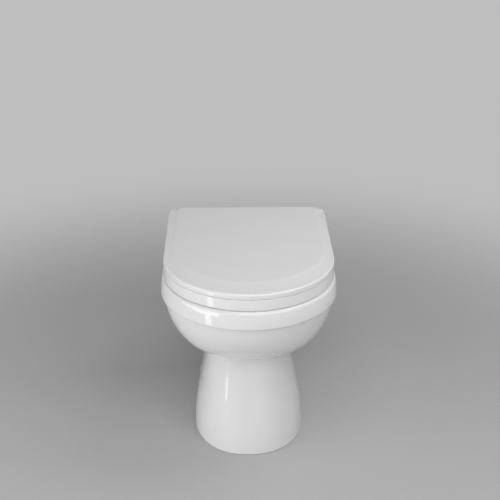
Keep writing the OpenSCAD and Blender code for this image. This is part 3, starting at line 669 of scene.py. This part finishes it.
def flush_hole_tree():
    """Rods for the flush holes, spaced along the round front and back of the channel."""
    tree, given = open_tree("flush_hole_row", {
        "Line radius": "Float", "Front": "Float", "Back": "Float", "Height": "Float",
        "Hole radius": "Float", "Depth": "Float", "Holes": "Int", "Material": "Material"})
    half = add(tree, "ShaderNodeMath", {0: given["Holes"], 1: 2.0}, operation="DIVIDE")
    step = add(tree, "ShaderNodeMath", {0: math.pi, 1: half.outputs[0]}, operation="DIVIDE")
    first = add(tree, "ShaderNodeMath", {0: step.outputs[0], 1: 0.5}, operation="MULTIPLY")
    sweep = add(tree, "ShaderNodeMath", {0: math.pi, 1: step.outputs[0]},
                operation="SUBTRACT")
    rod_mesh = add(tree, "GeometryNodeMeshCylinder", {
        "Vertices": 24, "Radius": given["Hole radius"], "Depth": given["Depth"]})
    rows = []
    for place, turn in (("Front", math.pi), ("Back", 0.0)):
        begin = add(tree, "ShaderNodeMath", {0: first.outputs[0], 1: turn},
                    operation="ADD")
        line = add(tree, "GeometryNodeCurveArc", {
            "Resolution": 64, "Radius": given["Line radius"],
            "Start Angle": begin.outputs[0], "Sweep Angle": sweep.outputs[0]})
        spot = add(tree, "ShaderNodeCombineXYZ", {"Y": given[place], "Z": given["Height"]})
        moved = add(tree, "GeometryNodeTransform", {
            "Geometry": line.outputs["Curve"], "Translation": spot.outputs[0]})
        spaced = add(tree, "GeometryNodeCurveToPoints", {
            "Curve": moved.outputs[0], "Count": half.outputs[0]})
        rods = add(tree, "GeometryNodeInstanceOnPoints", {
            "Points": spaced.outputs["Points"], "Instance": rod_mesh.outputs["Mesh"]})
        rows.append(rods.outputs["Instances"])
    both = add(tree, "GeometryNodeJoinGeometry")
    for row in rows:
        tree.links.new(row, both.inputs[0])
    return close_tree(tree, both.outputs[0], given["Material"])


def grown(name, tree, values):
    """A plain mesh that a node tree makes from named values."""
    piece = mesh_object(name, [], [])
    grower = piece.modifiers.new("grower", "NODES")
    grower.node_group = tree
    for socket in tree.interface.items_tree:
        if socket.in_out == "INPUT" and socket.name in values:
            value = values[socket.name]
            grower[socket.identifier] = value[:] if isinstance(value, Vector) else value
    plain_mesh(piece)
    if piece.data.materials[0] is None:
        piece.data.materials.pop(index=0)
    return piece


def rim_casting(pan):
    """The rim: a rounded band, the deck, the mouth and the flush channel."""
    rings = [d_ring(BAND_R - inset, FRONT_C, 0, 0, z, 160)
             for z, inset in rounded_stack(STEP_Z, RIM_Z, pan.band_low, pan.band_top,
                                           pan.band_lean, pan.band_bulge, 12)]
    rim = loft("pan_rim_casting", rings)
    mouth = flared_hole("mouth", pan.mouth_r, pan.mouth_back, STEP_Z, RIM_Z,
                        pan.mouth_edge)
    deck_under = RIM_Z - 15 * MM
    channel_low, channel_top = STEP_Z + 8 * MM, RIM_Z - 11 * MM
    channel_in, channel_out, channel_wall = 141 * MM, 173 * MM, 183 * MM
    channel = loft("channel", [stadium_ring(channel_out, pan.mouth_back, z)
                               for z in (channel_low, channel_top)])
    core = loft("core", [stadium_ring(channel_in, pan.mouth_back, z)
                         for z in (channel_low - MM, channel_top + MM)])
    combine(channel, [core], "DIFFERENCE")
    hollow_half = 175 * MM
    hollow = block("hollow", at(-hollow_half, pan.mouth_back, STEP_Z - MM),
                   at(hollow_half, -MM, deck_under))
    keep = rod("keep", channel_wall, at(0, pan.mouth_back, STEP_Z - 2 * MM),
               at(0, pan.mouth_back, deck_under + MM), 160)
    combine(hollow, [keep], "DIFFERENCE")
    port_half, port_back, sliver = 28 * MM, 118 * MM, 0.01 * MM
    port = block("port", at(-port_half, port_back, channel_low),
                 at(port_half, pan.mouth_back - channel_wall - MM, deck_under - sliver))
    bolt_r, bolt_x, bolt_back = 7 * MM, 77.5 * MM, 60 * MM
    bolt_holes = [rod("bolt_hole", bolt_r, at(s * bolt_x, bolt_back, deck_under - MM),
                      at(s * bolt_x, bolt_back, RIM_Z + MM)) for s in TWO_SIDES]
    line_r, hole_r, hole_depth, hole_drop = 144.6 * MM, 2.8 * MM, 10 * MM, 4 * MM
    flush_holes = grown("flush_holes", flush_hole_tree(), {
        "Line radius": line_r, "Front": WALL_Y - FRONT_C, "Back": WALL_Y - pan.mouth_back,
        "Height": channel_low - hole_drop, "Hole radius": hole_r, "Depth": hole_depth,
        "Holes": pan.flush_holes, "Material": finish_of(glazed_vitreous_china)})
    combine(rim, [mouth, channel, hollow, port, *bolt_holes, flush_holes], "DIFFERENCE")
    return rim


class TOILET_OT_rim(bpy.types.Operator):
    """Rim casting with its mouth, flush channel and deck"""

    bl_idname = "toilet.rim"
    bl_label = "Rim"

    def execute(self, context):
        piece = rim_casting(context.scene.toilet_pan)
        smooth(piece, 30)
        settle(piece, "pan", ["pan_rim"], "china", glazed_vitreous_china)
        return {"FINISHED"}


def basin_level(turn):
    """[height, half width, front, middle, back, squareness] of the basin's inside, from
    the rim at 0 degrees down to the throat at 90."""
    a, side_power = math.radians(turn), 1.55
    drop, out = math.sin(a) ** (2 / side_power), math.cos(a) ** (2 / side_power)
    return [STEP_Z + (THROAT_Z - STEP_Z) * drop, *mix(THROAT_PLAN, MOUTH_PLAN, out)]


def throat_level(z):
    """The same list for the throat, which narrows to the round sump."""
    sump_z, trap_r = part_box("pan_basin")[0].z, 36 * MM
    sump = [trap_r, SUMP_C + trap_r, SUMP_C, SUMP_C - trap_r, 2]
    return [z, *mix(sump, THROAT_PLAN, (z - sump_z) / (THROAT_Z - sump_z))]


def basin_ring(level, grow, slope, steps=128):
    """One ring of the basin, grown outwards along its slope."""
    lean = math.radians(slope)
    z, half, front, middle, back, power = level
    out, bend = grow * math.cos(lean), 2 / power
    ring = []
    for a in arc(0, 360, steps)[:-1]:
        reach = (front - middle if math.sin(a) < 0 else middle - back) + out
        ring.append(at((half + out) * signed_power(math.cos(a), bend),
                       middle - reach * signed_power(math.sin(a), bend),
                       z - grow * math.sin(lean)))
    return ring


def basin_casting(pan):
    """The inside of the bowl down to the sump, as a shell."""
    throat_steps, bend_steps, swell_steps = 16, 12, 30
    sump_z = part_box("pan_basin")[0].z
    fillet_z, fillet_turn = 240 * MM, 75                   # where the bend starts and ends
    levels = [(throat_level(sump_z + (fillet_z - sump_z) * i / throat_steps), 0)
              for i in range(throat_steps)]
    levels += blend_levels(throat_level(fillet_z), basin_level(fillet_turn), THROAT_PLAN,
                           fillet_turn, bend_steps)
    turns = [fillet_turn * (1 - i / swell_steps) for i in range(1, swell_steps + 1)]
    levels += [(basin_level(turn), turn) for turn in turns]
    outer = [basin_ring(level, pan.basin_wall, slope) for level, slope in levels]
    inner = [basin_ring(level, 0, slope) for level, slope in levels]
    return point_outwards(mesh_object("pan_basin_casting",
                                      *joined(outer + inner[::-1], again=True)))


class TOILET_OT_basin(bpy.types.Operator):
    """Inside of the bowl, down to the sump"""

    bl_idname = "toilet.basin"
    bl_label = "Basin"

    def execute(self, context):
        piece = basin_casting(context.scene.toilet_pan)
        smooth(piece, 40)
        settle(piece, "pan", ["pan_basin"], "china", glazed_vitreous_china,
               bare_vitreous_china)
        outwards, downwards = 0.05, -0.5
        leave_bare(piece, lambda face: face.normal.z < downwards
                   or looks_out(face, SUMP_C) > outwards)
        return {"FINISHED"}


class TOILET_OT_water_way(bpy.types.Operator):
    """Trap, outlet spigot, flush inlet and its seal"""

    bl_idname = "toilet.water_way"
    bl_label = "Water way"

    def execute(self, context):
        dress(glazed_vitreous_china, "pan_trapway", "pan_inlet")
        dress(moulded_epdm, "inlet_seal")
        return {"FINISHED"}


# ---------------------------------------------------------------- fixings and hinges


def coil_tree():
    """Round wire wound in a coil along its own axis, one for each of two places."""
    tree, given = open_tree("coil_pair", {
        "Radius": "Float", "Wire": "Float", "Length": "Float", "Turns": "Float",
        "Steps": "Float", "Spread": "Float", "Middle": "Vector", "Turn": "Vector",
        "Material": "Material"})
    line = add(tree, "GeometryNodeCurveSpiral", {
        "Resolution": given["Steps"], "Rotations": given["Turns"],
        "Start Radius": given["Radius"], "End Radius": given["Radius"],
        "Height": given["Length"]})
    section = add(tree, "GeometryNodeCurvePrimitiveCircle", {
        "Resolution": 8, "Radius": given["Wire"]})
    wire = add(tree, "GeometryNodeCurveToMesh", {
        "Curve": line.outputs[0], "Profile Curve": section.outputs[0], "Fill Caps": True})
    reach = add(tree, "ShaderNodeCombineXYZ", {"X": given["Spread"]})
    first = add(tree, "ShaderNodeVectorMath", {0: given["Middle"], 1: reach.outputs[0]},
                operation="SUBTRACT")
    twice = add(tree, "ShaderNodeVectorMath", {0: reach.outputs[0], "Scale": 2.0},
                operation="SCALE")
    places = add(tree, "GeometryNodeMeshLine", {
        "Count": 2, "Start Location": first.outputs[0], "Offset": twice.outputs[0]})
    pair = add(tree, "GeometryNodeInstanceOnPoints", {
        "Points": places.outputs[0], "Instance": wire.outputs[0],
        "Rotation": given["Turn"]})
    return close_tree(tree, pair.outputs[0], given["Material"])


def coils(name, body, values):
    """A pair of coils of zinc plated wire as one piece."""
    tree = bpy.data.node_groups.get("coil_pair") or coil_tree()
    steps_per_turn = 24.0
    piece = grown(name, tree, dict(values, Steps=steps_per_turn,
                                   Material=finish_of(zinc_plated_steel)))
    smooth(point_outwards(piece), 60)
    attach(piece, body)
    return piece


class TOILET_OT_seat_fixings(bpy.types.Operator):
    """Posts, gaskets, bolts with their threads, washers and wing nuts of the seat"""

    bl_idname = "toilet.seat_fixings"
    bl_label = "Seat fixings"

    def execute(self, context):
        dress(moulded_epdm, "post_gaskets", "cone_washers")
        dress(chrome_plate, "hinge_post_left", "hinge_post_right")
        dress(zinc_plated_steel, "seat_bolts", "steel_washers")
        dress(moulded_nylon, "wing_nuts")
        pitch, thread_r, crest = 1.0 * MM, 2.95 * MM, 0.3 * MM
        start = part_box("seat_bolts")[0].z + 1 * MM
        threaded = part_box("wing_nuts")[0].z - 0.5 * MM - start
        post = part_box("hinge_post_right")
        coils("seat_bolt_threads", "pan", {
            "Radius": thread_r, "Wire": crest, "Length": threaded,
            "Turns": threaded / pitch, "Spread": (post[0].x + post[1].x) / 2,
            "Middle": at(0, context.scene.toilet_seat.hinge_back, start),
            "Turn": (0.0, 0.0, 0.0)})
        return {"FINISHED"}


class TOILET_OT_floor_fixings(bpy.types.Operator):
    """Floor brackets, side screws in their cups, and cover caps"""

    bl_idname = "toilet.floor_fixings"
    bl_label = "Floor fixings"

    def execute(self, context):
        dress(moulded_nylon, "floor_bracket_left", "floor_bracket_right", "screw_cups")
        dress(zinc_plated_steel, "side_screws")
        dress(pressed_urea_resin, "side_caps")
        return {"FINISHED"}


class TOILET_OT_hinges(bpy.types.Operator):
    """Hinge blocks, release buttons and their springs, dampers and pins"""

    bl_idname = "toilet.hinges"
    bl_label = "Hinges"

    def execute(self, context):
        dress(chrome_plate, "hinge_block_left", "hinge_block_right")
        dress(pressed_urea_resin, "release_button_left", "release_button_right")
        dress(moulded_acetal, "seat_damper", "lid_damper")
        dress(zinc_plated_steel, "seat_pin", "lid_pin")
        low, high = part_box("button_springs")
        wire = 0.45 * MM
        radius = (high.z - low.z) / 2 - wire
        springs = coils("release_springs", "hinge_carrier", {
            "Radius": radius, "Wire": wire, "Length": high.y - low.y - 2 * wire,
            "Turns": 5.0, "Spread": high.x - radius - wire,
            "Middle": Vector((0, high.y - wire, (low.z + high.z) / 2)),
            "Turn": (math.radians(90), 0.0, 0.0)})
        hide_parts("button_springs")
        return {"FINISHED"}


# ---------------------------------------------------------------- seat and lid


def hinge_rod(seat, name, radius, start, end):
    """A round bar on the hinge axis, between two distances from the middle."""
    return rod(name, radius, at(start, seat.hinge_back, seat.hinge_z),
               at(end, seat.hinge_back, seat.hinge_z))


def buffer_places():
    """Places of the four seat buffers, as (x, from the wall)."""
    reach, rear = 152 * MM, 190 * MM
    tip = reach * math.sqrt(0.5)
    return [(s * x, y) for s in TWO_SIDES for x, y in ((tip, FRONT_C + tip),
                                                       (reach, rear))]


def seat_moulding(seat):
    """The seat: a rounded ring, hollow below, with buffer bosses and a hinge barrel."""
    corner, draft = 24 * MM, 0.6
    ring = loft("seat_moulding", [
        d_ring(SEAT_R - inset, FRONT_C, seat.seat_back + inset * draft, corner - inset, z)
        for z, inset in rounded_stack(SEAT_LOW, seat.seat_top, seat.seat_low_edge,
                                      seat.seat_edge, seat.seat_lean,
                                      seat.seat_bulge, 8)])
    hole = flared_hole("hole", seat.hole_r, seat.hole_back, SEAT_LOW, seat.seat_top,
                       seat.hole_edge)
    plate = seat.seat_top - seat.seat_wall
    pocket = loft("pocket", [
        d_ring(SEAT_R - seat.seat_wall, FRONT_C, seat.seat_back + seat.seat_wall,
               corner - seat.seat_wall, z) for z in (SEAT_LOW - MM, plate)])
    wall = loft("wall", [stadium_ring(seat.hole_r + seat.seat_wall, seat.hole_back, z)
                         for z in (SEAT_LOW - 2 * MM, plate + MM)])
    combine(pocket, [wall], "DIFFERENCE")
    combine(ring, [hole, pocket], "DIFFERENCE")
    boss_r, boss_low = 8 * MM, RIM_Z + 7.4 * MM
    bosses = [rod("boss", boss_r, at(x, y, boss_low), at(x, y, plate + MM), 32)
              for x, y in buffer_places()]
    barrel = hinge_rod(seat, "barrel", seat.barrel_r, -BARREL_END, BARREL_END)
    arm_low, arm_high = seat.hinge_z - 8 * MM, seat.hinge_z + 5 * MM
    arm = block("arm", at(-seat.seat_arm, seat.seat_back + MM, arm_low),
                at(seat.seat_arm, seat.hinge_back, arm_high))
    combine(ring, [*bosses, barrel, arm], "UNION")
    damper_end, pin_end = -8 * MM, 30 * MM
    bores = [hinge_rod(seat, "bore", DAMPER_BORE, -BARREL_END - MM, damper_end),
             hinge_rod(seat, "bore", PIN_BORE, pin_end, BARREL_END + MM)]
    combine(ring, bores, "DIFFERENCE")
    return ring


class TOILET_OT_seat(bpy.types.Operator):
    """Seat with its hinge barrel and buffers"""

    bl_idname = "toilet.seat"
    bl_label = "Seat"

    def execute(self, context):
        piece = seat_moulding(context.scene.toilet_seat)
        smooth(piece, 30)
        settle(piece, "seat", ["seat_ring"], "seat_resin", pressed_urea_resin)
        dress(soft_elastomer, "seat_buffers")
        return {"FINISHED"}


def lid_outside(seat, back, low):
    """The lid before it is hollowed: a flange, a soft edge, a sloped margin and a flat
    panel."""
    edge_z, low_edge, draft = LID_TOP - seat.lid_slope, 1 * MM, 0.5
    stack = rounded_stack(low, edge_z, low_edge, seat.lid_edge, steps=8)
    rings = [d_ring(SEAT_R - inset, FRONT_C, back + inset * draft,
                    seat.lid_corner - inset, z) for z, inset in stack]
    outer = [SEAT_R - seat.lid_edge, FRONT_C, back + seat.lid_edge * draft,
             seat.lid_corner - seat.lid_edge]
    panel_back, sharper = back + 3 * MM, 16 * MM
    inner = [seat.panel_r, seat.panel_c, panel_back, seat.lid_corner - sharper]
    # Shares of the way from the edge to the panel, with a tight step at each end
    shares = [0.015, *(i / 8 for i in range(1, 8)), 0.985, 1.0]
    rings += [d_ring(*mix(outer, inner, share), edge_z + seat.lid_slope * share ** 2)
              for share in shares]
    return loft("lid_moulding", rings)


def lid_moulding(seat):
    """The lid, hollow below, with a notch in its back for each post, and two hinge ears."""
    joint, top_wall = 1 * MM, 3.5 * MM
    low, plate = seat.seat_top + joint, LID_TOP - seat.lid_slope - top_wall
    back = WALL_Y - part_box("lid")[1].y
    lid = lid_outside(seat, back, low)
    pocket = loft("pocket", [
        d_ring(SEAT_R - seat.lid_wall, FRONT_C, back + seat.lid_wall,
               seat.lid_corner - seat.lid_wall, z) for z in (low - MM, plate)])
    combine(lid, [pocket], "DIFFERENCE")
    ear_start, ear_end, web = 96 * MM, 150 * MM, 8 * MM
    notch_end = back + seat.lid_wall + 0.5 * MM
    cuts, ears = [], []
    for s in TWO_SIDES:
        x0, x1 = sorted((s * BARREL_END, s * ear_start))
        cuts.append(block("notch", at(x0, notch_end, low - MM), at(x1, back - MM, plate)))
        x0, x1 = sorted((s * ear_start, s * ear_end))
        ears.append(hinge_rod(seat, "ear", seat.barrel_r, x0, x1))
        ears.append(block("web", at(x0, seat.hinge_back + web, seat.hinge_z),
                          at(x1, seat.hinge_back - web, plate + MM)))
    combine(lid, cuts, "DIFFERENCE")
    combine(lid, ears, "UNION")
    damper_depth, pin_depth = 51 * MM, 29 * MM
    bores = [hinge_rod(seat, "bore", DAMPER_BORE, ear_start - MM, ear_start + damper_depth),
             hinge_rod(seat, "bore", PIN_BORE, MM - ear_start, -ear_start - pin_depth)]
    combine(lid, bores, "DIFFERENCE")
    return lid


class TOILET_OT_lid(bpy.types.Operator):
    """Lid with its flat panel, soft edge, hinge ears and pads"""

    bl_idname = "toilet.lid"
    bl_label = "Lid"

    def execute(self, context):
        piece = lid_moulding(context.scene.toilet_seat)
        smooth(piece, 30)
        settle(piece, "lid", ["lid"], "seat_resin", pressed_urea_resin)
        dress(soft_elastomer, "lid_buffers")
        return {"FINISHED"}


# ---------------------------------------------------------------- stage


# Name, place, the point that it faces, width and height in metres, and watts
LAMPS = (
    ("overhead", (0, -0.8, 2.0), (0, 0, 0.3), 1.0, 1.0, 5.8),
    ("overhead_right", (0.9, 0, 2.0), (0, 0, 0.3), 1.0, 1.0, 9.1),
    ("front", (0.581, -1.597, 1.45), (0, -0.1, 0.3), 2.4, 0.9, 16.9),
    ("low_left", (-1.472, -0.85, 0.33), (0, -0.1, 0.3), 1.6, 0.55, 12.1),
    ("low_right", (0.85, -1.472, 0.33), (0, -0.1, 0.3), 1.6, 0.55, 1.6),
    ("catch_light", (-0.72, -0.71, 0.12), (-0.08, -0.23, 0.39), 0.12, 0.2, 0.3),
)
CAMERA_PLACE = (-0.0405, -2.0671, 1.3680)       # metres, fitted to the photograph
CAMERA_TILT, CAMERA_TURN = 65.4309, -1.2273     # degrees
FOCAL_LENGTH, FILM_WIDTH = 75.54, 36.0          # mm


def soft_box(name, place, target, width, height, watts):
    """A rectangular studio lamp that faces a point."""
    data = bpy.data.lights.new(name, "AREA")
    data.shape = "RECTANGLE"
    data.size, data.size_y = width, height
    data.energy = watts
    lamp = bpy.data.objects.new(name, data)
    bpy.context.scene.collection.objects.link(lamp)
    lamp.location = place
    lamp.rotation_euler = (Vector(target) - Vector(place)).to_track_quat("-Z", "Y").to_euler()
    lamp.visible_camera = False


def seen_directly(tree):
    """1 for rays that show the backdrop: to the camera, in gloss and through glass."""
    light_path = add(tree, "ShaderNodeLightPath").outputs
    gloss = add(tree, "ShaderNodeMath", {0: light_path["Is Glossy Ray"],
                                         1: light_path["Is Transmission Ray"]},
                operation="MAXIMUM")
    return add(tree, "ShaderNodeMath", {0: light_path["Is Camera Ray"],
                                        1: gloss.outputs[0]},
               operation="MAXIMUM").outputs[0]


def studio_floor():
    """Pale painted floor: matt, with a slow cloud a hand across so that it isn't dead
    flat. It takes the object's shadow near by, and further off turns into the backdrop."""
    finish = bpy.context.scene.toilet_finish
    paint = surface("studio_floor", Roughness=0.8, IOR=1.45)
    mottle(paint, tuple(finish.floor), shade(finish.floor, 0.985), size=180, detail=2.0)
    fade_start, fade_end = 0.4, 1.8
    tree = paint.node_tree
    place = add(tree, "ShaderNodeTexCoord").outputs["Object"]
    away = add(tree, "ShaderNodeVectorMath", {0: place}, operation="LENGTH")
    far = add(tree, "ShaderNodeMapRange", {"Value": away.outputs["Value"],
                                           "From Min": fade_start, "From Max": fade_end},
              interpolation_type="SMOOTHERSTEP")
    share = add(tree, "ShaderNodeMath", {0: far.outputs["Result"], 1: seen_directly(tree)},
                operation="MULTIPLY")
    glow = add(tree, "ShaderNodeEmission", {"Color": tuple(finish.backdrop)})
    blend = add(tree, "ShaderNodeMixShader", {
        "Fac": share.outputs[0], 1: tree.nodes["Principled BSDF"].outputs[0],
        2: glow.outputs[0]})
    tree.links.new(blend.outputs[0], tree.nodes["Material Output"].inputs["Surface"])
    return paint


def studio_world():
    """Even white light from all sides, in front of a pale backdrop."""
    fill_strength = 0.2
    world = bpy.data.worlds.new("studio_world")
    world.use_nodes = True
    tree = world.node_tree
    light = tree.nodes["Background"]
    light.inputs["Color"].default_value = srgb("FFFFFF")
    light.inputs["Strength"].default_value = fill_strength
    backdrop = tuple(bpy.context.scene.toilet_finish.backdrop)
    shown = add(tree, "ShaderNodeBackground", {"Color": backdrop})
    blend = add(tree, "ShaderNodeMixShader", {"Fac": seen_directly(tree),
                                              1: light.outputs[0], 2: shown.outputs[0]})
    tree.links.new(blend.outputs[0], tree.nodes["World Output"].inputs["Surface"])
    return world


class TOILET_OT_stage(bpy.types.Operator):
    """Pale floor, soft lamps, even light from all sides and the camera"""

    bl_idname = "toilet.stage"
    bl_label = "Stage"

    def execute(self, context):
        scene = context.scene
        floor_half = 30.0
        corners = [Vector((x * floor_half, y * floor_half, 0)) for x, y in
                   ((-1, -1), (1, -1), (1, 1), (-1, 1))]
        floor = mesh_object("floor", corners, [(0, 1, 2, 3)])
        floor.data.materials.append(finish_of(studio_floor))
        for lamp in LAMPS:
            soft_box(*lamp)
        scene.world = studio_world()
        scene.view_settings.view_transform = "Standard"
        lens = bpy.data.cameras.new("camera")
        lens.lens, lens.sensor_width = FOCAL_LENGTH, FILM_WIDTH
        lens.clip_end = 100
        camera = bpy.data.objects.new("camera", lens)
        scene.collection.objects.link(camera)
        camera.location = CAMERA_PLACE
        camera.rotation_euler = (math.radians(CAMERA_TILT), 0, math.radians(CAMERA_TURN))
        scene.camera = camera
        return {"FINISHED"}


# ---------------------------------------------------------------- panel and registration


class TOILET_PT_panel(bpy.types.Panel):
    """Lists the pieces and their sizes"""

    bl_idname = "TOILET_PT_panel"
    bl_label = "Toilet"
    bl_space_type = "VIEW_3D"
    bl_region_type = "UI"
    bl_category = "Toilet"

    def draw(self, context):
        for operator in OPERATORS:
            self.layout.operator(operator.bl_idname)
        scene = context.scene
        for group in (scene.toilet_pan, scene.toilet_seat, scene.toilet_finish):
            box = self.layout.box()
            for name in group.bl_rna.properties.keys():
                if name not in ("rna_type", "name"):
                    box.prop(group, name)


OPERATORS = (
    TOILET_OT_stage, TOILET_OT_pedestal, TOILET_OT_rim, TOILET_OT_basin,
    TOILET_OT_water_way, TOILET_OT_seat_fixings, TOILET_OT_floor_fixings,
    TOILET_OT_hinges, TOILET_OT_seat, TOILET_OT_lid,
)
CLASSES = (PanSizes, SeatSizes, Finishes, *OPERATORS, TOILET_PT_panel)


def register():
    """Registers the classes and hangs the sizes and colours on the scene."""
    for cls in CLASSES:
        bpy.utils.register_class(cls)
    bpy.types.Scene.toilet_pan = PointerProperty(type=PanSizes)
    bpy.types.Scene.toilet_seat = PointerProperty(type=SeatSizes)
    bpy.types.Scene.toilet_finish = PointerProperty(type=Finishes)


def unregister():
    """Takes away what register added."""
    del bpy.types.Scene.toilet_finish
    del bpy.types.Scene.toilet_seat
    del bpy.types.Scene.toilet_pan
    for cls in reversed(CLASSES):
        bpy.utils.unregister_class(cls)


def main():
    """Builds every piece and the stage."""
    register()
    for operator in OPERATORS:
        group, name = operator.bl_idname.split(".")
        getattr(getattr(bpy.ops, group), name)()


if __name__ == "__main__":
    main()
